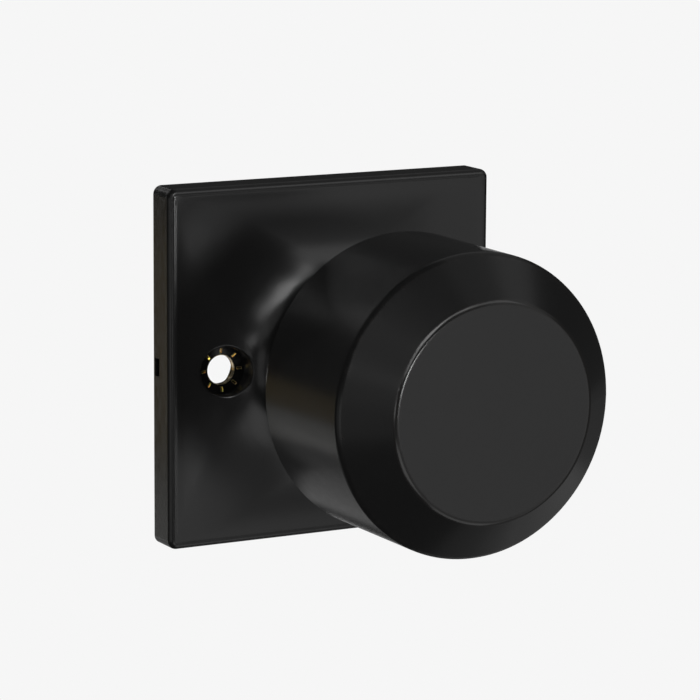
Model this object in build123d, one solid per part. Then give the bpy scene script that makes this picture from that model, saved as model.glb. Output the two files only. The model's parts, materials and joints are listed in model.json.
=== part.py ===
"""Inner half of a passage door knob set: a round bevelled knob on a square rose.

Every piece is drawn in the door's own frame: u runs to the right, v runs up, and w comes
straight out of the door, with the turning axis on w and the door's face at w = 0.
The last step turns that frame so that Z is up and Y goes into the door.
All lengths are in millimetres and all angles in degrees.
"""

from build123d import *
import os
from math import acos, degrees, radians, sin, sqrt

# ---------------------------------------------------------------- driving dimensions
ROSE_SIDE = 66.7            # square cover plate, 2-5/8 in
ROSE_DEPTH = 6.8
ROSE_WALL = 2.0
ROSE_CORNER = 1.6           # plan corners
ROSE_FRONT_ROUND = 1.2      # round along the front edges
NECK_RADIUS = 15.6
NECK_TOP = 26.0
NECK_LEDGE = 0.4            # the front sweeps up to a foot this much wider than the neck
SWEEP_RISE = 6.5            # height that the hollow sweep gains between edge and collar
SWEEP_SECTIONS = 12
SHORTEST_SIDE = 0.1         # half of the straight side left in the sweep's roundest outline
SLOT_HALF = 1.7             # pry slot in the rose's left side
SLOT_LOW = 0.5
SLOT_HIGH = 2.3
SLOT_DEPTH = 1.2

KNOB_BACK = 32.55
KNOB_BACK_RADIUS = 27.15
KNOB_RIM = 59.3             # where the straight side would meet the bevel
KNOB_RADIUS = 27.1
KNOB_RIM_ROUND = 1.7
KNOB_FACE = 66.2
KNOB_FACE_RADIUS = 19.35
KNOB_WALL = 2.0

SHANK_RADIUS = 11.0
SHANK_BACK = 11.5
SHANK_FRONT = 37.0
HUB_RADIUS = 8.5
HUB_BACK = -6.0
HUB_FRONT = 32.0
HUB_FLAT = 7.7              # half the distance across the hub's two flats
SOCKET_SIDE = 8.2           # takes an 8 mm square spindle
SOCKET_DEPTH = 36.0
HEX_DEPTH = 1.8             # of the screws' hexagon sockets

CORE_BACK = SHANK_FRONT - 2.0
BACK_PLATE_BACK = KNOB_BACK + 0.55
RIB_HALF = 1.0
RIB_COUNT = 6
CORE_SCREW_RADIUS = 2.5
CORE_SCREW_LENGTH = 12.0
SCREW_HEAD_RADIUS = 4.5
SCREW_HEAD_HEIGHT = 2.8
PIN_RADIUS = 1.5
PIN_HEIGHT = 20.0           # of the dowels that lock hub and shank, above the door
PIN_START = SOCKET_SIDE / 2 + 0.9
SET_SCREW_RADIUS = 2.0
SET_SCREW_HEIGHT = 29.6

SNAP_RING_BACK = -2.7
SNAP_RING_THICKNESS = 0.9
SNAP_RING_INNER = 7.2
SNAP_RING_GAP_HALF = 2.6

BOLT_CIRCLE = 22.6          # radius at which the two through-bolt holes lie
BOLT_TILT = 1.5             # angle between the holes' line and the horizontal
BOLT_HOLE_RADIUS = 2.7
CUP_RADIUS = 4.5            # sunk cup that a bolt head sits in
CUP_ROUND = 0.5
SEAT_RADIUS = 5.8
BOSS_WALL = 1.1
SEAT_TOP = 6.4
SEAT_CONE_FOOT = 5.8
SEAT_WEB = 1.2
SEAT_BORE = 4.6
SERRATIONS = 8
GROOVE_SIZE = (0.9, 0.42, 0.4)

PLATE_SIDE = 62.2
PLATE_THICKNESS = 1.5
PLATE_BOLT_HOLE = 5.0
BUSH_WALL = 2.0             # rear bush, between the hub and the plate
BUSH_FLANGE = 0.9

CAGE_RADIUS = 14.0
CAGE_WALL = 1.0
CAGE_FRONT = 9.4
RIVET_CIRCLE = 20.0
RIVET_RADIUS = 1.6
LUG_RADIUS = 3.2
LUG_THICKNESS = 1.1

TRAVEL = 50.0               # knob turns this far each way
STOP_GAP = 0.8              # angle left between the ear and a stop at full travel
EAR_HALF_ANGLE = 10.0
EAR_RADIUS = 12.4
DRIVER_BACK = 2.2
DRIVER_FRONT = 3.7
DRIVER_RADIUS = 10.6
STOP_INNER = 11.0
STOP_ANGLE = 12.0

WIRE_RADIUS = 0.65
COIL_RADIUS = 10.0
COIL_PITCH = 1.4
COIL_START = 4.6
COIL_TURNS = 2
LEG_OFFSET = 2.3
LEG_END = 12.5

RUNNING_GAP = 0.08          # radial play of a bush
FACE_GAP = 0.05             # axial play between sliding faces

DOOR_FRAME = Plane.XZ       # x is u, y is v, and its normal, w, is -Y


# ---------------------------------------------------------------- helpers
def disc(radius, low, high):
    """Cylinder on the turning axis between two heights above the door."""
    return Pos(0, 0, low) * Cylinder(radius, high - low, align=(Align.CENTER, Align.CENTER, Align.MIN))


def ring(inner, outer, low, high):
    return disc(outer, low, high) - disc(inner, low, high)


def block(u_low, u_high, v_low, v_high, w_low, w_high):
    size = (u_high - u_low, v_high - v_low, w_high - w_low)
    return Pos(u_low, v_low, w_low) * Box(*size, align=(Align.MIN, Align.MIN, Align.MIN))


def rounded_square(side, corner, low, high):
    return Pos(0, 0, low) * extrude(RectangleRounded(side, side, corner), high - low)


def turned(outline):
    """Solid of revolution from a closed outline of radius and height points."""
    return revolve(make_face(Plane.XZ * Polyline(*outline, close=True)), Axis.Z)


def round_corner(face, radius_at, height_at, size):
    """Round the corner of a turned outline that lies nearest to a point."""
    corner = face.vertices().sort_by_distance(Vector(radius_at, 0, height_at))[0]
    return fillet(corner, size)


def radial_rod(radius, start, end, angle, height):
    """Cylinder that points away from the axis at an angle, between two radii."""
    rod = Cylinder(radius, end - start, align=(Align.CENTER, Align.CENTER, Align.MIN))
    return Rot(0, 0, angle) * Pos(start, 0, height) * Rot(0, 90, 0) * rod


def sector(inner, outer, angle_low, angle_high, low, high):
    """Piece of a ring between two angles."""
    reach = 2 * outer
    first = Vector(reach, 0, 0).rotate(Axis.Z, angle_low)
    middle = Vector(reach, 0, 0).rotate(Axis.Z, (angle_low + angle_high) / 2)
    last = Vector(reach, 0, 0).rotate(Axis.Z, angle_high)
    corners = [(0, 0)] + [(corner.X, corner.Y) for corner in (first, middle, last)]
    wedge = Pos(0, 0, low) * extrude(make_face(Polyline(*corners, close=True)), high - low)
    return ring(inner, outer, low, high) & wedge


def bolt_places():
    return [Rot(0, 0, BOLT_TILT) * Pos(side * BOLT_CIRCLE, 0, 0) for side in (-1, 1)]


def write(name, shape):
    """Turn a piece into the part's frame and write its STEP file."""
    placed = DOOR_FRAME * shape
    placed.label = name
    export_step(placed, f"parts/{name}.step")


# ---------------------------------------------------------------- rose set, which stays still
def swept_block(side, corner, foot, low):
    """Block whose front sweeps up from a square outline at one height to the neck's round foot."""
    reach = side / 2 - foot
    sections = []
    for index in range(SWEEP_SECTIONS + 1):
        share = sin(radians(90 * index / SWEEP_SECTIONS))
        half = side / 2 - reach * share
        rounding = corner + (foot - SHORTEST_SIDE - corner) * sqrt(share)
        height = low + SWEEP_RISE * (1 - sqrt(1 - share**2))
        sections.append(Pos(0, 0, height) * RectangleRounded(2 * half, 2 * half, rounding))
    return loft(sections)


def rose():
    """Cast cover: square at the edge and swept to a round collar, with two cups and a pry slot."""
    plate = rounded_square(ROSE_SIDE, ROSE_CORNER, 0, ROSE_DEPTH)
    plate = fillet(plate.edges().group_by(Axis.Z)[-1], ROSE_FRONT_ROUND)
    front_side = ROSE_SIDE - 2 * ROSE_FRONT_ROUND
    front_corner = ROSE_CORNER - ROSE_FRONT_ROUND
    outside = plate + swept_block(front_side, front_corner, NECK_RADIUS + NECK_LEDGE, ROSE_DEPTH)
    outside += disc(NECK_RADIUS, ROSE_DEPTH, NECK_TOP)
    inner_depth = ROSE_DEPTH - ROSE_WALL
    inner_side = ROSE_SIDE - 2 * ROSE_WALL
    bore = NECK_RADIUS - ROSE_WALL
    hollow = rounded_square(inner_side, 1.0, 0, inner_depth)
    hollow += swept_block(inner_side, 1.0, bore + NECK_LEDGE, inner_depth)
    hollow += disc(bore, 0, NECK_TOP + 1)
    shell = outside - hollow
    boss_radius = SEAT_RADIUS + BOSS_WALL
    for place in bolt_places():
        shell += place * disc(boss_radius, PLATE_THICKNESS, NECK_TOP) & outside
    left = -ROSE_SIDE / 2
    shell -= block(left - 1, left + SLOT_DEPTH, -SLOT_HALF, SLOT_HALF, SLOT_LOW, SLOT_HIGH)
    for place in bolt_places():
        shell -= place * disc(SEAT_RADIUS, 0, SEAT_TOP)
        shell -= place * disc(CUP_RADIUS, 0, NECK_TOP)
    rims = [edge for edge in shell.edges() if on_cup_rim(edge)]
    return fillet(rims, CUP_ROUND)


def on_cup_rim(edge):
    """True for an edge where a cup's wall meets the front surface of the rose."""
    centres = [place.position for place in bolt_places()]
    for along in (0, 0.3, 0.7, 1):
        point = edge.position_at(along)
        from_hole = min(sqrt((point.X - c.X) ** 2 + (point.Y - c.Y) ** 2) for c in centres)
        if abs(from_hole - CUP_RADIUS) > 0.02 or point.Z < ROSE_DEPTH - 0.1:
            return False
    return True


def screw_seats():
    """Two pressed-in seats: a serrated cone for the bolt head over a thin web with a hole."""
    web_back = SEAT_CONE_FOOT - SEAT_WEB
    outline = [
        (SEAT_RADIUS, PLATE_THICKNESS),
        (SEAT_RADIUS, SEAT_TOP),
        (CUP_RADIUS, SEAT_TOP),
        (BOLT_HOLE_RADIUS, SEAT_CONE_FOOT),
        (BOLT_HOLE_RADIUS, web_back),
        (SEAT_BORE, web_back),
        (SEAT_BORE, PLATE_THICKNESS),
    ]
    seat = turned(outline)
    slope = degrees(acos((CUP_RADIUS - BOLT_HOLE_RADIUS) / sqrt(
        (CUP_RADIUS - BOLT_HOLE_RADIUS) ** 2 + (SEAT_TOP - SEAT_CONE_FOOT) ** 2)))
    middle = (CUP_RADIUS + BOLT_HOLE_RADIUS) / 2
    cone_height = (SEAT_TOP + SEAT_CONE_FOOT) / 2
    for index in range(SERRATIONS):
        groove = Rot(0, -slope, 0) * Box(*GROOVE_SIZE)
        seat -= Rot(0, 0, index * 360 / SERRATIONS) * Pos(middle, 0, cone_height) * groove
    return Compound([place * seat for place in bolt_places()])


def rivet_places():
    return [Rot(0, 0, 45 + 90 * index) * Pos(RIVET_CIRCLE, 0, 0) for index in range(4)]


def mounting_plate():
    plate = rounded_square(PLATE_SIDE, 1.5, 0, PLATE_THICKNESS)
    plate -= disc(HUB_RADIUS + BUSH_WALL, 0, PLATE_THICKNESS)
    for place in bolt_places():
        plate -= place * disc(PLATE_BOLT_HOLE, 0, PLATE_THICKNESS)
    for place in rivet_places():
        plate -= place * disc(RIVET_RADIUS, 0, PLATE_THICKNESS)
    return plate


def spring_cage():
    """Cup over the spring, with four riveted lugs, a spring tab and two travel stops."""
    inner = CAGE_RADIUS - CAGE_WALL
    ceiling = CAGE_FRONT - CAGE_WALL
    back = PLATE_THICKNESS
    cup = disc(CAGE_RADIUS, back, CAGE_FRONT)
    cup = fillet(cup.edges().sort_by(Axis.Z)[-1], 0.9)
    lug_top = back + LUG_THICKNESS
    for index in range(4):
        lug = block(CAGE_RADIUS - 1, RIVET_CIRCLE, -LUG_RADIUS, LUG_RADIUS, back, lug_top)
        lug += Pos(RIVET_CIRCLE, 0, 0) * disc(LUG_RADIUS, back, lug_top)
        cup += Rot(0, 0, 45 + 90 * index) * lug
    cup -= disc(inner, back, ceiling)
    cup -= disc(HUB_RADIUS + 0.7, back, CAGE_FRONT)
    for place in rivet_places():
        cup -= place * disc(RIVET_RADIUS, back, lug_top)
    tab_half = LEG_OFFSET - WIRE_RADIUS - 0.15
    tab = block(-tab_half, tab_half, EAR_RADIUS - 0.5, inner + 0.5, back, ceiling)
    cup += tab
    first = EAR_HALF_ANGLE + TRAVEL + STOP_GAP
    for start in (270 + first, 270 - first - STOP_ANGLE):
        cup += sector(STOP_INNER, inner + 0.5, start, start + STOP_ANGLE, back, ceiling)
    return cup


def cage_rivets():
    """Four rivets through the cage's lugs and the plate, flush at the back."""
    head_back = PLATE_THICKNESS + LUG_THICKNESS
    outline = [
        (0, 0),
        (RIVET_RADIUS, 0),
        (RIVET_RADIUS, head_back),
        (RIVET_RADIUS + 1.1, head_back),
        (RIVET_RADIUS + 0.8, head_back + 0.8),
        (0, head_back + 1.1),
    ]
    rivet = turned(outline)
    return Compound([place * rivet for place in rivet_places()])


def neck_bushing():
    """Nylon sleeve in the rose's collar, with a thin lip over its end."""
    bore = SHANK_RADIUS + RUNNING_GAP
    outer = NECK_RADIUS - ROSE_WALL
    sleeve = ring(bore, outer, SHANK_BACK + 0.5, NECK_TOP)
    return sleeve + ring(bore, outer + 1.1, NECK_TOP, NECK_TOP + 0.8)


def rear_bushing():
    bore = HUB_RADIUS + RUNNING_GAP
    sleeve = ring(bore, HUB_RADIUS + BUSH_WALL, 0, PLATE_THICKNESS)
    return sleeve + ring(bore, HUB_RADIUS + 2 * BUSH_WALL, -BUSH_FLANGE, 0)


def thrust_washer():
    return ring(HUB_RADIUS + 0.2, HUB_RADIUS + 2.3, PLATE_THICKNESS, DRIVER_BACK - FACE_GAP)


def return_spring():
    """Torsion spring: two turns, with a leg on each side of the driver's finger."""
    leg_angle = degrees(acos(LEG_OFFSET / COIL_RADIUS))
    swept_turns = COIL_TURNS - (180 - 2 * leg_angle) / 360
    rise = COIL_PITCH * swept_turns
    path = Helix(COIL_PITCH, rise, COIL_RADIUS)
    section = Plane(origin=path @ 0, z_dir=path % 0) * Circle(WIRE_RADIUS)
    coil = Pos(0, 0, COIL_START) * Rot(0, 0, 180 - leg_angle) * sweep(section, path=path, is_frenet=True)
    leg_foot = sqrt(COIL_RADIUS**2 - LEG_OFFSET**2)
    leg = Cylinder(WIRE_RADIUS, LEG_END - leg_foot, align=(Align.CENTER, Align.CENTER, Align.MIN))
    spring = coil
    for offset, height in ((-LEG_OFFSET, COIL_START), (LEG_OFFSET, COIL_START + rise)):
        place = Pos(offset, leg_foot, height)
        spring += place * Rot(-90, 0, 0) * leg
        spring += place * Sphere(WIRE_RADIUS)
    return spring


# ---------------------------------------------------------------- knob, which turns
def knob_shell():
    """Hollow bevelled knob, open at the back."""
    inner = KNOB_RADIUS - KNOB_WALL
    bevel_run = KNOB_RADIUS - KNOB_FACE_RADIUS
    bevel_rise = KNOB_FACE - KNOB_RIM
    bevel_length = sqrt(bevel_run**2 + bevel_rise**2)
    inner_face = KNOB_FACE - KNOB_WALL
    inner_rim = KNOB_RIM - KNOB_WALL * (bevel_length - bevel_rise) / bevel_run
    inner_face_radius = inner - (inner_face - inner_rim) * bevel_run / bevel_rise
    outline = [
        (inner, KNOB_BACK),
        (KNOB_BACK_RADIUS, KNOB_BACK),
        (KNOB_RADIUS, KNOB_RIM),
        (KNOB_FACE_RADIUS, KNOB_FACE),
        (0, KNOB_FACE),
        (0, inner_face),
        (inner_face_radius, inner_face),
        (inner, inner_rim),
    ]
    face = make_face(Plane.XZ * Polyline(*outline, close=True))
    face = round_corner(face, KNOB_BACK_RADIUS, KNOB_BACK, 0.4)
    face = round_corner(face, KNOB_RADIUS, KNOB_RIM, KNOB_RIM_ROUND)
    face = round_corner(face, KNOB_FACE_RADIUS, KNOB_FACE, 1.5)
    return revolve(face, Axis.Z)


def knob_back_plate():
    plate = ring(SHANK_RADIUS, KNOB_RADIUS - KNOB_WALL, BACK_PLATE_BACK, CORE_BACK)
    back_circles = plate.edges().filter_by(GeomType.CIRCLE).group_by(Axis.Z)[0]
    return fillet(back_circles.sort_by(SortBy.RADIUS)[-1], 0.4)


def knob_core():
    """Cast insert: a boss with six ribs, which ties the shell to the shank."""
    front = KNOB_FACE - KNOB_WALL
    boss_radius = SHANK_RADIUS + 2.0
    core = disc(boss_radius, CORE_BACK, front)
    rib_reach = KNOB_RADIUS - KNOB_WALL - 0.1
    rib_front = KNOB_RIM - 2.7
    for index in range(RIB_COUNT):
        rib = block(0, rib_reach, -RIB_HALF, RIB_HALF, CORE_BACK, rib_front)
        core += Rot(0, 0, (index + 0.5) * 360 / RIB_COUNT) * rib
    core -= disc(SHANK_RADIUS, CORE_BACK, SHANK_FRONT)
    core -= disc(CORE_SCREW_RADIUS, SHANK_FRONT, SHANK_FRONT + CORE_SCREW_LENGTH)
    return core - disc(boss_radius - 4.0, SHANK_FRONT + CORE_SCREW_LENGTH + 3.0, front)


def knob_shank():
    """Tube between knob and rose, with a web that the core screw pulls on."""
    shank = disc(SHANK_RADIUS, SHANK_BACK, SHANK_FRONT)
    shank -= disc(HUB_RADIUS, SHANK_BACK, HUB_FRONT)
    shank -= disc(SCREW_HEAD_RADIUS + 0.5, HUB_FRONT, HUB_FRONT + SCREW_HEAD_HEIGHT + 0.2)
    shank -= disc(CORE_SCREW_RADIUS, HUB_FRONT, SHANK_FRONT)
    for angle in (0, 180):
        shank -= radial_rod(PIN_RADIUS, 0, SHANK_RADIUS + 1, angle, PIN_HEIGHT)
    return shank - radial_rod(SET_SCREW_RADIUS, 0, SHANK_RADIUS + 1, 270, SET_SCREW_HEIGHT)


def drive_hub():
    """Steel hub with the square spindle socket, two flats and the snap ring's groove."""
    hub = disc(HUB_RADIUS, HUB_BACK, HUB_FRONT)
    hub = chamfer(hub.edges().sort_by(Axis.Z)[0], 0.5)
    for side in (1, -1):
        near, far = sorted((side * HUB_FLAT, side * (HUB_RADIUS + 1)))
        hub -= block(near, far, -HUB_RADIUS, HUB_RADIUS, HUB_BACK, DRIVER_FRONT)
    half = SOCKET_SIDE / 2
    hub -= block(-half, half, -half, half, HUB_BACK, HUB_BACK + SOCKET_DEPTH)
    hub -= ring(SNAP_RING_INNER, HUB_RADIUS + 1, SNAP_RING_BACK, SNAP_RING_BACK + SNAP_RING_THICKNESS)
    for angle in (0, 180):
        hub -= radial_rod(PIN_RADIUS, PIN_START, HUB_RADIUS + 1, angle, PIN_HEIGHT)
    return hub - radial_rod(SET_SCREW_RADIUS, 0, HUB_RADIUS + 1, 270, SET_SCREW_HEIGHT)


def hub_pins():
    """Two dowels that lock the hub in the shank without reaching the socket."""
    end = SHANK_RADIUS - 0.15
    return Compound([radial_rod(PIN_RADIUS, PIN_START, end, angle, PIN_HEIGHT) for angle in (0, 180)])


def knob_set_screw():
    """Headless screw from below, which grips the spindle."""
    start = SOCKET_SIDE / 2 + 0.1
    end = SHANK_RADIUS - 0.3
    screw = radial_rod(SET_SCREW_RADIUS, start, end, 270, SET_SCREW_HEIGHT)
    hexagon = extrude(RegularPolygon(1.0, 6, major_radius=False), HEX_DEPTH)
    return screw - Pos(0, -end, SET_SCREW_HEIGHT) * Rot(-90, 0, 0) * hexagon


def core_screw():
    head_back = CORE_BACK - SCREW_HEAD_HEIGHT
    screw = disc(SCREW_HEAD_RADIUS, head_back, CORE_BACK)
    screw += disc(CORE_SCREW_RADIUS, CORE_BACK, SHANK_FRONT + CORE_SCREW_LENGTH)
    hexagon = extrude(RegularPolygon(2.0, 6, major_radius=False), HEX_DEPTH)
    return screw - Pos(0, 0, head_back) * hexagon


def spring_driver():
    """Disc keyed to the hub, with a finger for the spring and an ear for the stops."""
    driver = disc(DRIVER_RADIUS, DRIVER_BACK, DRIVER_FRONT)
    driver += sector(DRIVER_RADIUS - 1, EAR_RADIUS, 270 - EAR_HALF_ANGLE, 270 + EAR_HALF_ANGLE,
                     DRIVER_BACK, DRIVER_FRONT)
    finger_half = LEG_OFFSET - WIRE_RADIUS - 0.05
    finger_inner = COIL_RADIUS + WIRE_RADIUS + 0.3
    finger_outer = EAR_RADIUS - 0.65
    finger_front = CAGE_FRONT - CAGE_WALL - 0.3
    driver += block(-finger_half, finger_half, HUB_RADIUS + 1, finger_outer, DRIVER_BACK, DRIVER_FRONT)
    driver += block(-finger_half, finger_half, finger_inner, finger_outer, DRIVER_BACK, finger_front)
    hub_section = disc(HUB_RADIUS, DRIVER_BACK, DRIVER_FRONT)
    hub_section &= block(-HUB_FLAT, HUB_FLAT, -HUB_RADIUS, HUB_RADIUS, DRIVER_BACK, DRIVER_FRONT)
    return driver - hub_section


def cone_washer():
    """Dished spring washer that takes up the end play behind the plate."""
    front = -BUSH_FLANGE - FACE_GAP
    back = SNAP_RING_BACK + SNAP_RING_THICKNESS
    inner = HUB_RADIUS + 0.2
    outer = HUB_RADIUS + 3.3
    thickness = 0.45
    outline = [(inner, back), (inner, back + thickness), (outer, front), (outer, front - thickness)]
    return turned(outline)


def snap_ring():
    """Open retaining ring in the hub's groove."""
    front = SNAP_RING_BACK + SNAP_RING_THICKNESS
    clip = ring(SNAP_RING_INNER, HUB_RADIUS + 2.2, SNAP_RING_BACK, front)
    gap = block(-SNAP_RING_GAP_HALF, SNAP_RING_GAP_HALF, 0, HUB_RADIUS + 3, HUB_BACK, 0)
    return clip - gap


PIECES = [
    rose, screw_seats, mounting_plate, spring_cage, cage_rivets, neck_bushing, rear_bushing,
    thrust_washer, return_spring, knob_shell, knob_back_plate, knob_core, knob_shank, drive_hub,
    hub_pins, knob_set_screw, core_screw, spring_driver, cone_washer, snap_ring,
]

os.makedirs("parts", exist_ok=True)
for piece in PIECES:
    write(piece.__name__, piece())
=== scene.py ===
"""Looks for the passage door knob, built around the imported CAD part.

Blender units are metres, in the part's own frame: X right, Z up, and Y into the door, so the
knob stands out towards -Y.
"""

import json
from math import cos, pi, radians, sin, tan

import bmesh
import bpy
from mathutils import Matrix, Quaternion, Vector


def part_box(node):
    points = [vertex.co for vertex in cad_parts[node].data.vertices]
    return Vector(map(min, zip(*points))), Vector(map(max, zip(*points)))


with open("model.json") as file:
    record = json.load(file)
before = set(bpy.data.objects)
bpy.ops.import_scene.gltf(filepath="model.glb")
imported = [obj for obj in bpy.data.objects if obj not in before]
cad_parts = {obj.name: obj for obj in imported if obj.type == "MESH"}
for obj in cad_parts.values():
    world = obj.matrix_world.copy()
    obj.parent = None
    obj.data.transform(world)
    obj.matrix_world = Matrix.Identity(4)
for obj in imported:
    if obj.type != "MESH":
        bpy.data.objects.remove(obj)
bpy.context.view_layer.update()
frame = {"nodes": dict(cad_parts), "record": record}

# ---------------------------------------------------------------- camera, stage and light values
CAMERA_AIM = Vector((0.00579, -0.00307, 0.0003))
CAMERA_AZIMUTH = -28.37      # degrees; 0 looks along +Y
CAMERA_ELEVATION = 10.39
CAMERA_ROLL = 0.347
CAMERA_DISTANCE = 0.6723
CAMERA_LENS = 184.4          # millimetres
CAMERA_SENSOR = 36.0         # millimetres
CAMERA_CLIP = 0.01, 50.0     # nearest and farthest distance that the camera sees

BACKDROP = 0.922             # linear; a pale grey that is nearly white
ROOM = 0.032                 # what the dim room gives back to the reflections
FLOOR_DROP = 0.30            # the floor's depth below the knob's axis
FLOOR_SIDE = 8.0             # wide enough that no edge shows

LIGHT_DISTANCE = 3.0
NEAR_LIGHT_DISTANCE = 0.35   # so near that the rose's left side is lit unevenly
WHITE = (1, 1, 1)
WARM = (1, 0.76, 0.36)
FAINTLY_WARM = (1, 1, 0.96)

# ---------------------------------------------------------------- part values
MM = 0.001
HOLES = next(m for m in frame["record"]["mounts"] if m["name"] == "through_bolts")
BOLT_CIRCLE_RADIUS = HOLES["dims"]["pcd_mm"] / 2 * MM
HOLE_RADIUS = HOLES["dims"]["hole_r_mm"] * MM
BOLT_TILT = radians(1.5)     # of the line through both holes, about the knob's axis
SERRATIONS = 8

# The values from here to the palette are in millimetres. A pair says where a mask starts to
# fade and where it has gone.
FACE_RADIUS = 19.35             # the rounded edge of the knob's flat face
RIM_INSET = 0.5                 # from the knob's largest radius in to its rounded rim's middle
EDGE_WEAR = 0.9                 # reach of the rubbing on either side of an edge
# Masks on the seats: painted glints on the serrations, a painted highlight in the hole.
SERRATION_WIDTH = 0.20, 0.26    # to each side of its middle line
SERRATION_LENGTH = 0.42, 0.50   # inwards and outwards from its middle
SERRATION_MIDDLE = 0.9          # beyond the hole's edge
HOLE_LIP = 0.05, 0.12           # beyond the hole's edge, where the painted highlight in the hole ends
SEAT_BACK = 4.9, 5.1            # in front of the door, where the seats' plated back begins and the cone's painted shade ends

# ---------------------------------------------------------------- palette, in linear colour
COAT = (0.0105, 0.0105, 0.0105)
# lighter coat where rubbed; along the knob's face edge the same colour is a painted highlight
COAT_RUBBED_AND_SHEEN = (0.022, 0.021, 0.020)
# The seats' cone is painted black for the shade in the hole; the two brighter copies of the
# chromate below are painted glints and a painted highlight.
CONE_SHADE = (0.004, 0.004, 0.004)
CHROMATE = (0.42, 0.29, 0.10), (0.33, 0.30, 0.10), (0.44, 0.26, 0.13)
CHROMATE_GLINTS = (0.86, 0.62, 0.28), (0.50, 0.68, 0.24), (0.86, 0.45, 0.32)
HOLE_HIGHLIGHT = (1.0, 0.82, 0.55)
BRIGHT_ZINC = (0.66, 0.68, 0.72), (0.50, 0.53, 0.58)
SINTERED = (0.44, 0.43, 0.42), (0.34, 0.34, 0.35)
# painted shade in the hub's pores
PORE_SHADE = (0.10, 0.10, 0.10)
OXIDE = (0.055, 0.056, 0.06)
OXIDE_RUBBED = (0.30, 0.29, 0.28)
TEMPERED = (0.27, 0.28, 0.32), (0.20, 0.19, 0.19)
CAST_ZINC = (0.58, 0.59, 0.61), (0.43, 0.44, 0.47)
BLACK_NYLON = (0.022, 0.022, 0.023), (0.014, 0.014, 0.014)
NATURAL_NYLON = (0.78, 0.76, 0.69), (0.70, 0.67, 0.58)

COAT_ROUGHNESS = 0.18
COAT_TEXTURE = 0.04          # roughness that grain, cloudy gloss and smears each add at most
COAT_POLISH = -0.08          # roughness that full rubbing adds


# ---------------------------------------------------------------- stage
def direction(azimuth, elevation):
    """Unit vector from the part towards a place given as azimuth and elevation in degrees."""
    a, e = radians(azimuth), radians(elevation)
    return Vector((sin(a) * cos(e), -cos(a) * cos(e), sin(e)))


def make_camera():
    """Long lens that looks from the knob's left and a little from above."""
    data = bpy.data.cameras.new("camera")
    data.lens = CAMERA_LENS
    data.sensor_width = CAMERA_SENSOR
    data.clip_start, data.clip_end = CAMERA_CLIP
    camera = bpy.data.objects.new("camera", data)
    bpy.context.scene.collection.objects.link(camera)
    back = direction(CAMERA_AZIMUTH, CAMERA_ELEVATION)
    camera.location = CAMERA_AIM + back * CAMERA_DISTANCE
    camera.rotation_mode = "QUATERNION"
    level = (-back).to_track_quat("-Z", "Y")
    camera.rotation_quaternion = level @ Quaternion((0, 0, 1), radians(CAMERA_ROLL))
    bpy.context.scene.camera = camera


def softbox(name, azimuth, elevation, width, height, brightness,
            tint=WHITE, away=LIGHT_DISTANCE):
    """Rectangular light that faces the part.

    Azimuth and elevation say where it stands, and width and height how large it is: all four
    are in degrees, seen from the part. Brightness is its radiance.
    """
    data = bpy.data.lights.new(name, "AREA")
    data.shape = "RECTANGLE"
    data.size = 2 * away * tan(radians(width / 2))
    data.size_y = 2 * away * tan(radians(height / 2))
    data.energy = brightness * pi * data.size * data.size_y
    data.color = tint
    light = bpy.data.objects.new(name, data)
    bpy.context.scene.collection.objects.link(light)
    back = direction(azimuth, elevation)
    light.location = back * away
    light.rotation_mode = "QUATERNION"
    light.rotation_quaternion = (-back).to_track_quat("-Z", "Y")
    light.visible_camera = False


def make_lights():
    """Softboxes on every side, each a patch of light that part of the coating mirrors."""
    # above; the two keys make the glow on the rose's sweep
    softbox("key", -12, 34, 20, 20, 4.0)
    softbox("key_low", -18, 17, 12, 14, 2.6)
    softbox("over_middle", 8, 43, 22, 16, 1.7)
    softbox("over_right", 34, 36, 30, 22, 0.85)
    softbox("over_far_right", 64, 36, 34, 30, 0.22)
    softbox("side_high", -44, 28, 44, 32, 0.26)
    # in front; the spot draws the bright line on the edge of the knob's face
    softbox("front_left", -42, 8, 24, 20, 0.35)
    softbox("front_left_low", -34, -4, 10, 10, 2.0)
    softbox("front_spot", 10, -2, 9, 8, 15.0)
    softbox("front_middle", 8, -15, 24, 14, 0.15)
    softbox("front_right", 36, -10, 38, 24, 0.53)
    softbox("front_right_high", 42, 12, 28, 22, 0.36)
    # on the left
    softbox("side_left", -69, -10, 26, 24, 0.48)
    softbox("far_left", -97, -10, 26, 24, 0.18)
    # below and on the right
    softbox("under_left", -16, -32, 28, 23, 1.1)
    softbox("under_right", 16, -32, 28, 23, 0.26)
    softbox("under_far_right", 49, -32, 28, 23, 0.35)
    softbox("low", 26, -55, 30, 23, 0.8)
    softbox("right_low", 120, -36, 30, 26, 0.13)
    softbox("right_low_wide", 114, -34, 60, 50, 0.05)
    softbox("right_under", 100, -62, 60, 30, 0.1)
    softbox("top_right", 90, 56, 100, 44, 0.16)
    # behind; the two near ones light the rose's left side, brown in its middle
    softbox("behind", 180, 12, 27, 22, 1.3)
    softbox("behind_level", 180, -10, 27, 22, 1.8)
    softbox("behind_low", 180, -32, 28, 23, 0.24)
    softbox("behind_low_left", -147, -32, 28, 23, 0.11)
    softbox("behind_left", -152, -9, 27, 11, 0.14, WARM, NEAR_LIGHT_DISTANCE)
    softbox("behind_left_under", -152, -21, 27, 11, 0.27, FAINTLY_WARM, NEAR_LIGHT_DISTANCE)
    softbox("behind_left_high", -147, 34, 27, 23, 0.18)
    softbox("behind_right", 150, -10, 27, 22, 0.6)


def glow(nodes, value):
    """Even grey light."""
    node = nodes.new("ShaderNodeEmission")
    node.inputs["Color"].default_value = (value, value, value, 1)
    return node.outputs[0]


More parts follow.
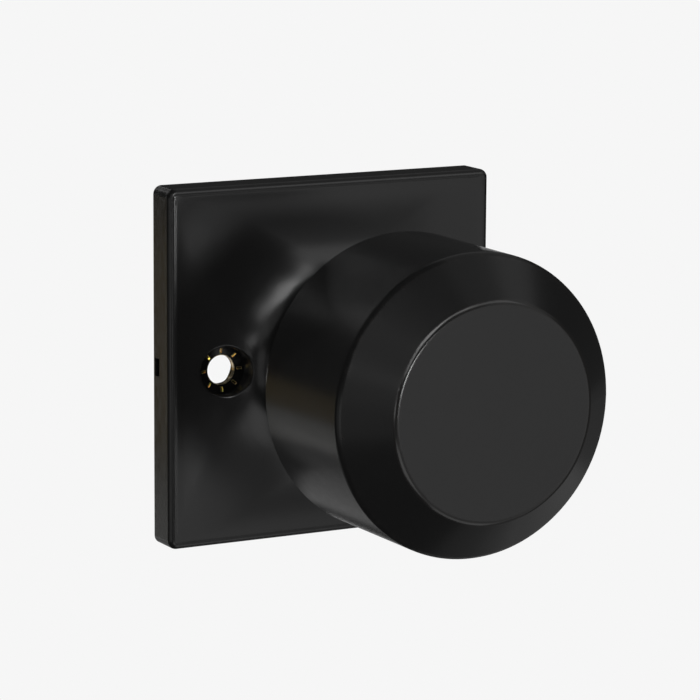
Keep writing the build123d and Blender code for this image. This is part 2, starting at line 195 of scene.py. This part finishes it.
def make_world():
    """Pale backdrop for the camera, and a dim grey room for the reflections."""
    world = bpy.data.worlds.new("room")
    bpy.context.scene.world = world
    world.use_nodes = True
    nodes, links = world.node_tree.nodes, world.node_tree.links
    nodes.clear()
    output = nodes.new("ShaderNodeOutputWorld")
    path = nodes.new("ShaderNodeLightPath")
    mix = nodes.new("ShaderNodeMixShader")
    links.new(path.outputs["Is Camera Ray"], mix.inputs[0])
    links.new(glow(nodes, ROOM), mix.inputs[1])
    links.new(glow(nodes, BACKDROP), mix.inputs[2])
    links.new(mix.outputs[0], output.inputs["Surface"])


def make_floor():
    """Pale floor, evenly lit, that runs out of sight into the backdrop.

    The softboxes below it shine through it, and nothing is mirrored from it.
    """
    material = bpy.data.materials.new("floor")
    material.use_nodes = True
    nodes, links = material.node_tree.nodes, material.node_tree.links
    nodes.clear()
    output = nodes.new("ShaderNodeOutputMaterial")
    links.new(glow(nodes, BACKDROP), output.inputs["Surface"])
    mesh = bpy.data.meshes.new("floor")
    shape = bmesh.new()
    bmesh.ops.create_grid(shape, x_segments=1, y_segments=1, size=FLOOR_SIDE / 2)
    shape.to_mesh(mesh)
    shape.free()
    mesh.materials.append(material)
    floor = bpy.data.objects.new("floor", mesh)
    floor.location.z = -FLOOR_DROP
    floor.visible_diffuse = floor.visible_glossy = floor.visible_shadow = False
    bpy.context.scene.collection.objects.link(floor)


# ---------------------------------------------------------------- node helpers
class Look:
    """A Principled material with short calls for the patterns that drive it."""

    def __init__(self, name, **sockets):
        self.material = bpy.data.materials.new(name)
        self.material.use_nodes = True
        self.nodes = self.material.node_tree.nodes
        self.links = self.material.node_tree.links
        self.shader = self.nodes["Principled BSDF"]
        self.place = self.nodes.new("ShaderNodeTexCoord").outputs["Object"]
        for socket, value in sockets.items():
            self.shader.inputs[socket.replace("_", " ")].default_value = value

    def feed(self, socket, value):
        """Link the socket to another node's output, or set it to a plain value."""
        if hasattr(value, "is_output"):
            self.links.new(value, socket)
        else:
            socket.default_value = value

    def drive(self, socket, value):
        """Link one of the shader's sockets to a pattern."""
        self.links.new(value, self.shader.inputs[socket])

    def math(self, operation, first, second=0.0):
        """One arithmetic step; each operand is another node's output or a number."""
        node = self.nodes.new("ShaderNodeMath")
        node.operation = operation
        self.feed(node.inputs[0], first)
        self.feed(node.inputs[1], second)
        return node.outputs[0]

    def vary(self, pattern, amount, base):
        """Base, plus the pattern times amount."""
        return self.math("ADD", self.math("MULTIPLY", pattern, amount), base)

    def stretched(self, factors):
        """Place with its axes scaled, so that a pattern is longer where a factor is small."""
        node = self.nodes.new("ShaderNodeVectorMath")
        node.operation = "MULTIPLY"
        self.links.new(self.place, node.inputs[0])
        node.inputs[1].default_value = factors
        return node.outputs[0]

    def noise(self, grain, detail=3.0, place=None, distortion=0.0):
        """Noise whose patches are about as wide as grain, in millimetres."""
        node = self.nodes.new("ShaderNodeTexNoise")
        node.inputs["Scale"].default_value = 1 / (grain * MM)
        node.inputs["Detail"].default_value = detail
        node.inputs["Distortion"].default_value = distortion
        self.links.new(place or self.place, node.inputs["Vector"])
        return node.outputs["Fac"]

    def cells(self, grain):
        """Distance from the nearest of many points that are about grain millimetres apart."""
        node = self.nodes.new("ShaderNodeTexVoronoi")
        node.inputs["Scale"].default_value = 1 / (grain * MM)
        self.links.new(self.place, node.inputs["Vector"])
        return node.outputs["Distance"]

    def spread(self, value, low, high, to_low=0.0, to_high=1.0):
        """Stretch a value's range to another one, smoothly, and stop at its ends."""
        node = self.nodes.new("ShaderNodeMapRange")
        node.interpolation_type = "SMOOTHSTEP"
        self.links.new(value, node.inputs["Value"])
        for socket, number in zip(("From Min", "From Max", "To Min", "To Max"),
                                  (low, high, to_low, to_high)):
            node.inputs[socket].default_value = number
        return node.outputs["Result"]

    def fade(self, distance, start, end):
        """1 up to start and 0 from end on, with both distances in millimetres."""
        return self.spread(distance, start * MM, end * MM, 1.0, 0.0)

    def blend(self, share, first, second):
        """Colour that goes from first to second as share goes from 0 to 1."""
        node = self.nodes.new("ShaderNodeMix")
        node.data_type = "RGBA"
        self.links.new(share, node.inputs[0])
        # inputs 6 and 7 and output 2 are the ones for colours
        for socket, colour in zip((node.inputs[6], node.inputs[7]), (first, second)):
            self.feed(socket, (*colour, 1) if isinstance(colour, tuple) else colour)
        return node.outputs[2]

    def axes(self):
        """The place's X, Y and Z as separate values, in metres."""
        node = self.nodes.new("ShaderNodeSeparateXYZ")
        self.links.new(self.place, node.inputs[0])
        return node.outputs

    def length(self, first, second):
        """Length of the vector with these two components."""
        squares = [self.math("MULTIPLY", value, value) for value in (first, second)]
        return self.math("SQRT", self.math("ADD", *squares))

    def bump(self, *layers):
        """Stack of bumps, each a height pattern with its depth in millimetres."""
        normal = None
        for height, depth in layers:
            node = self.nodes.new("ShaderNodeBump")
            node.inputs["Strength"].default_value = 1
            node.inputs["Distance"].default_value = depth * MM
            self.links.new(height, node.inputs["Height"])
            if normal:
                self.links.new(normal, node.inputs["Normal"])
            normal = node.outputs["Normal"]
        self.drive("Normal", normal)

    def colour(self, value):
        self.drive("Base Color", value)

    def roughness(self, value):
        self.drive("Roughness", value)


# ---------------------------------------------------------------- coatings
def coat(look, wear_and_sheen, smears):
    """Satin black coating: fine grain, cloudy gloss, faint smears, and lighter and glossier
    where rubbed, with a painted highlight along the knob's face edge.
    """
    grain = look.noise(0.35, detail=2.0)
    clouds = look.noise(9.0, detail=2.0)
    texture = look.math("MULTIPLY", look.math("ADD", clouds, grain), COAT_TEXTURE)
    texture = look.math("ADD", texture, look.math("MULTIPLY", smears, COAT_TEXTURE))
    polish = look.math("MULTIPLY", wear_and_sheen, COAT_POLISH)
    look.roughness(look.math("ADD", look.math("ADD", texture, polish), COAT_ROUGHNESS))
    # lighter where rubbed, and along the knob's face edge a painted highlight
    look.colour(look.blend(look.math("MULTIPLY", wear_and_sheen, 0.5), COAT, COAT_RUBBED_AND_SHEEN))
    look.bump((look.noise(6.0, detail=1.0), 0.006), (grain, 0.0006))


def ring_mask(look, radius, reach):
    """1 on a circle about the knob's axis, fading to 0 at a distance of reach."""
    axes = look.axes()
    off = look.math("SUBTRACT", look.length(axes[0], axes[2]), radius * MM)
    return look.fade(look.math("ABSOLUTE", off), 0.0, reach)


def rose_coat():
    """The coating on the rose, rubbed here and there along its square edge."""
    look = Look("rose_coat")
    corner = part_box("rose")[1]
    axes = look.axes()
    near = []
    for axis in (0, 2):
        inward = look.math("SUBTRACT", corner[axis], look.math("ABSOLUTE", axes[axis]))
        near.append(look.fade(inward, 0.0, EDGE_WEAR))
    patches = look.spread(look.noise(1.6, detail=4.0), 0.45, 0.7)
    wear_and_sheen = look.math("MULTIPLY", look.math("MAXIMUM", *near), patches)
    coat(look, wear_and_sheen, look.noise(6.0, 3.0, look.stretched((0.4, 1, 1)), distortion=0.6))
    return look.material


def knob_coat():
    """The coating on the knob: its rim is rubbed here and there, and the edge of its flat front
    has an even painted highlight.
    """
    look = Look("knob_coat")
    rim = ring_mask(look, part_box("knob_shell")[1][0] / MM - RIM_INSET, EDGE_WEAR)
    # an even ring of painted highlight at the edge of the flat front
    face_edge_highlight = ring_mask(look, FACE_RADIUS, EDGE_WEAR)
    patches = look.spread(look.noise(1.2, detail=4.0), 0.4, 0.7)
    wear_and_sheen = look.math("MAXIMUM", look.math("MULTIPLY", rim, patches), face_edge_highlight)
    coat(look, wear_and_sheen, look.noise(5.0, 3.0, look.stretched((1, 0.35, 1)), distortion=0.8))
    return look.material


def plain_coat():
    """The coating on the pieces that show least, rubbed in patches."""
    look = Look("plain_coat")
    wear_and_sheen = look.spread(look.noise(1.6, detail=4.0), 0.6, 0.8, 0.0, 0.5)
    coat(look, wear_and_sheen, look.noise(4.0, detail=4.0))
    return look.material


# ---------------------------------------------------------------- yellow chromate and the seats
def chromate(look, grain, colours):
    """Yellow chromate: drifts between its colours over patches about grain millimetres wide."""
    gold, green, rosy = colours
    to_green = look.spread(look.noise(grain, detail=2.0), 0.3, 0.75)
    to_rosy = look.spread(look.noise(1.4 * grain, detail=2.0), 0.4, 0.8)
    return look.blend(to_rosy, look.blend(to_green, gold, green), rosy)


def yellow_zinc():
    """Yellow chromate over rolled steel, with fine scratches along X."""
    look = Look("yellow_zinc", Metallic=1.0)
    look.colour(chromate(look, 7.0, CHROMATE))
    scratches = look.noise(0.5, 2.0, look.stretched((0.06, 1, 1)))
    look.roughness(look.vary(scratches, 0.2, 0.16))
    look.bump((look.noise(1.5), 0.008), (scratches, 0.003))
    return look.material


def hole_offsets(look):
    """Offsets across and up from the nearer bolt hole's axis."""
    axes = look.axes()
    side = look.math("SIGN", axes[0])
    centre = {0: BOLT_CIRCLE_RADIUS * cos(BOLT_TILT), 2: BOLT_CIRCLE_RADIUS * sin(BOLT_TILT)}
    return [look.math("SUBTRACT", axes[axis], look.math("MULTIPLY", side, distance))
            for axis, distance in centre.items()]


def serration_mask(look, across, up, radius):
    """1 on each of the serrations that stand round a bolt hole, where glints are painted."""
    turn = look.math("SUBTRACT", look.math("ARCTAN2", up, across), BOLT_TILT)
    turn = look.vary(turn, SERRATIONS / (2 * pi), 0.5)
    step = look.math("ABSOLUTE", look.math("SUBTRACT", look.math("FRACT", turn), 0.5))
    sideways = look.math("MULTIPLY", look.math("MULTIPLY", step, radius), 2 * pi / SERRATIONS)
    middle = HOLE_RADIUS + SERRATION_MIDDLE * MM
    along = look.math("ABSOLUTE", look.math("SUBTRACT", radius, middle))
    return look.math("MULTIPLY", look.fade(sideways, *SERRATION_WIDTH),
                     look.fade(along, *SERRATION_LENGTH))


def seat_look():
    """Seats: yellow chromate at the back, and forward of it a glossy cone painted black for the
    shade in the hole, with painted glints on its serrations and a painted highlight in its hole.
    """
    look = Look("seat")
    across, up = hole_offsets(look)
    radius = look.length(across, up)
    # painted glints on the serrations
    bright_patches = serration_mask(look, across, up, radius)
    lip = [HOLE_RADIUS + distance * MM for distance in HOLE_LIP]
    # painted highlight in the hole, up to just beyond its edge
    hole_edge_highlight = look.spread(radius, *lip, 1.0, 0.0)
    behind = look.fade(look.math("MULTIPLY", look.axes()[1], -1.0), *SEAT_BACK)
    # brighter chromate copies: painted glints, and a painted highlight in the hole; the real
    # plating is at the back
    plating_and_glints = look.blend(hole_edge_highlight, chromate(look, 0.6, CHROMATE_GLINTS), HOLE_HIGHLIGHT)
    plating_and_glints = look.blend(behind, plating_and_glints, chromate(look, 3.0, CHROMATE))
    # where chromate shows: painted glints, the painted highlight in the hole and the real
    # plating at the back
    gold = look.math("MAXIMUM", look.math("MAXIMUM", bright_patches, hole_edge_highlight), behind)
    # the cone's black, wherever no chromate shows, is painted shade
    look.colour(look.blend(gold, CONE_SHADE, plating_and_glints))
    look.drive("Metallic", gold)
    look.roughness(look.vary(look.noise(0.8), 0.10, 0.07))
    look.bump((look.noise(0.9), 0.008))
    return look.material


# ---------------------------------------------------------------- bare metals and nylon
def bright_zinc():
    """Bright zinc plating over steel, with draw lines along Y."""
    look = Look("bright_zinc", Metallic=1.0)
    clouds = look.spread(look.noise(5.0, detail=4.0), 0.35, 0.7)
    look.colour(look.blend(clouds, *BRIGHT_ZINC))
    draw_lines = look.noise(0.6, 3.0, look.stretched((1, 0.08, 1)))
    look.roughness(look.vary(draw_lines, 0.22, 0.18))
    look.bump((draw_lines, 0.004), (look.noise(2.5), 0.008))
    return look.material


def sintered_steel():
    """Pressed and sintered hub: grey and even, with fine open pores painted dark as shade."""
    look = Look("sintered_steel", Metallic=1.0)
    pores = look.spread(look.cells(0.28), 0.0, 0.22, 1.0, 0.0)
    patches = look.spread(look.noise(3.0, detail=4.0), 0.35, 0.7)
    # the pores are painted dark, as the shade in them
    look.colour(look.blend(pores, look.blend(patches, *SINTERED), PORE_SHADE))
    look.roughness(look.vary(pores, 0.3, 0.38))
    look.bump((look.math("MULTIPLY", pores, -1.0), 0.02), (look.noise(1.0), 0.006))
    return look.material


def screw_steel():
    """Black oxide, rubbed through to the steel in patches."""
    look = Look("screw_steel", Metallic=1.0)
    bright_patches = look.spread(look.noise(1.1, detail=5.0), 0.58, 0.68)
    look.colour(look.blend(bright_patches, OXIDE, OXIDE_RUBBED))
    look.roughness(look.vary(look.noise(0.5), 0.25, 0.24))
    look.bump((look.noise(0.7), 0.008))
    return look.material


def spring_steel():
    """Oil-tempered wire and pressings: dark blue-grey with draw lines."""
    look = Look("spring_steel", Metallic=1.0)
    temper = look.spread(look.noise(3.4), 0.35, 0.65)
    look.colour(look.blend(temper, *TEMPERED))
    draw_lines = look.noise(0.3, 3.0, look.stretched((1, 0.1, 1)))
    look.roughness(look.vary(draw_lines, 0.2, 0.2))
    look.bump((draw_lines, 0.004))
    return look.material


def die_cast_zinc():
    """Zinc as cast, with flow marks and a pitted skin."""
    look = Look("die_cast_zinc", Metallic=1.0)
    flow = look.spread(look.noise(6.0, detail=5.0, distortion=2.0), 0.35, 0.7)
    look.colour(look.blend(flow, *CAST_ZINC))
    look.roughness(look.vary(look.noise(0.9, detail=4.0), 0.3, 0.34))
    look.bump((look.noise(1.8, detail=5.0), 0.03), (look.noise(0.3, detail=2.0), 0.006))
    return look.material


def nylon(name, colours, **sockets):
    """Moulded nylon: a faint orange-peel skin and slightly cloudy colour."""
    look = Look(name, **sockets)
    look.colour(look.blend(look.spread(look.noise(4.0), 0.35, 0.65), *colours))
    look.roughness(look.vary(look.noise(1.2), 0.2, 0.32))
    look.bump((look.noise(0.8, detail=2.0), 0.012), (look.noise(0.2, detail=1.0), 0.002))
    return look.material


SLOT_LOOKS = {
    "satin_black": plain_coat(),
    "yellow_zinc": yellow_zinc(),
    "bright_zinc": bright_zinc(),
    "sintered_steel": sintered_steel(),
    "screw_steel": screw_steel(),
    "spring_steel": spring_steel(),
    "die_cast_zinc": die_cast_zinc(),
    "black_nylon": nylon("black_nylon", BLACK_NYLON),
    "natural_nylon": nylon("natural_nylon", NATURAL_NYLON, Subsurface_Weight=0.15),
}
PIECE_LOOKS = {"rose": rose_coat(), "knob_shell": knob_coat(), "screw_seats": seat_look()}


def dress_nodes():
    """Give every CAD piece its own look, or the one of its material slot."""
    slots = {entry["node"]: entry["material_slot"] for entry in frame["record"]["subparts"]}
    for name, node in frame["nodes"].items():
        node.data.materials.clear()
        node.data.materials.append(PIECE_LOOKS.get(name) or SLOT_LOOKS[slots[name]])


make_camera()
make_world()
make_floor()
make_lights()
dress_nodes()
bpy.context.scene.view_settings.view_transform = "Standard"
